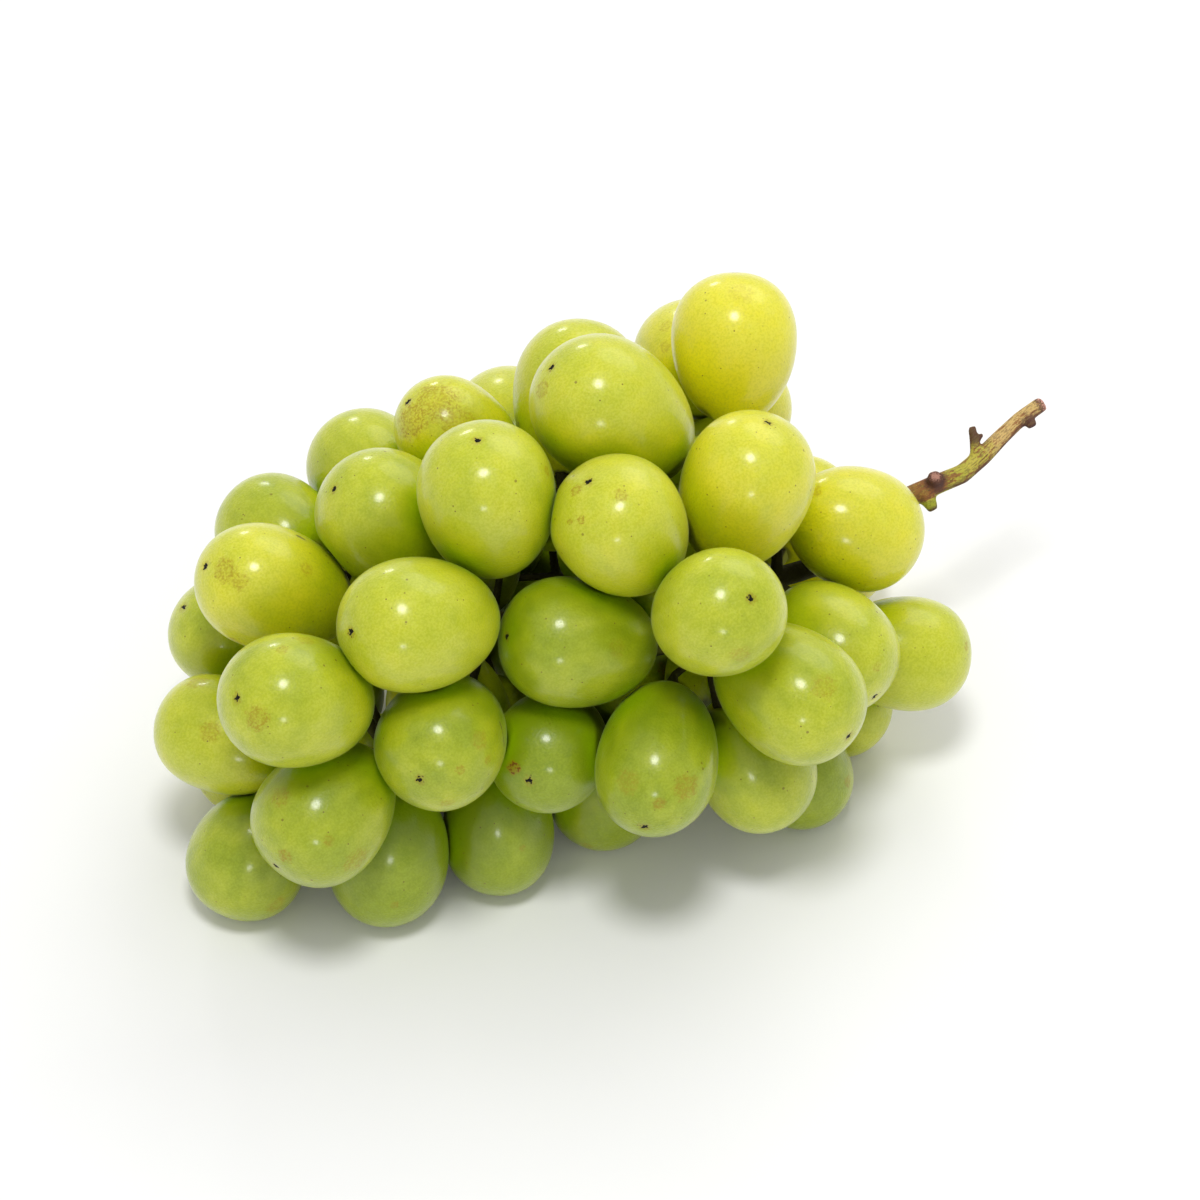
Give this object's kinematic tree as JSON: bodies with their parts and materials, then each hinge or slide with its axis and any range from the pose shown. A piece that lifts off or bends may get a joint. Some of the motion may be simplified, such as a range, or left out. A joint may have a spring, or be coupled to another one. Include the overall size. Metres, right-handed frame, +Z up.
{
  "type": "bunch of grapes",
  "caption": "Bunch of large oval green table grapes on a branching stem, lying down with its bare cut stem rising at one end.",
  "frame": {"origin": "on the surface, under the middle of the bunch's bounding box", "axes": "+Z up from the surface, +X along the bunch towards its cut stem, +Y away from the side that the picture shows"},
  "size_m": [0.1942, 0.121, 0.1029],
  "materials": {
    "grape_skin": "soft gloss skin with a pale bloom, green to yellow",
    "stem": "matte, green-brown, browner at the cut end"
  },
  "bodies": {
    "root": {"grape_01": "grape_skin", "grape_02": "grape_skin", "grape_03": "grape_skin", "grape_04": "grape_skin", "grape_05": "grape_skin", "grape_06": "grape_skin", "grape_07": "grape_skin", "grape_08": "grape_skin", "grape_09": "grape_skin", "grape_10": "grape_skin", "grape_11": "grape_skin", "grape_12": "grape_skin", "grape_13": "grape_skin", "grape_14": "grape_skin", "grape_15": "grape_skin", "grape_16": "grape_skin", "grape_17": "grape_skin", "grape_18": "grape_skin", "grape_19": "grape_skin", "grape_20": "grape_skin", "grape_21": "grape_skin", "grape_22": "grape_skin", "grape_23": "grape_skin", "grape_24": "grape_skin", "grape_25": "grape_skin", "grape_26": "grape_skin", "grape_27": "grape_skin", "grape_28": "grape_skin", "grape_29": "grape_skin", "grape_30": "grape_skin", "grape_31": "grape_skin", "grape_32": "grape_skin", "grape_33": "grape_skin", "grape_34": "grape_skin", "grape_35": "grape_skin", "grape_36": "grape_skin", "grape_37": "grape_skin", "grape_38": "grape_skin", "grape_39": "grape_skin", "grape_40": "grape_skin", "grape_41": "grape_skin", "grape_42": "grape_skin", "grape_43": "grape_skin", "grape_44": "grape_skin", "grape_45": "grape_skin", "grape_46": "grape_skin", "grape_47": "grape_skin", "grape_48": "grape_skin", "grape_49": "grape_skin", "grape_50": "grape_skin", "grape_51": "grape_skin", "grape_52": "grape_skin", "grape_53": "grape_skin", "grape_54": "grape_skin", "grape_55": "grape_skin", "grape_56": "grape_skin", "grape_57": "grape_skin", "grape_58": "grape_skin", "stem": "stem"}
  },
  "joints": []
}
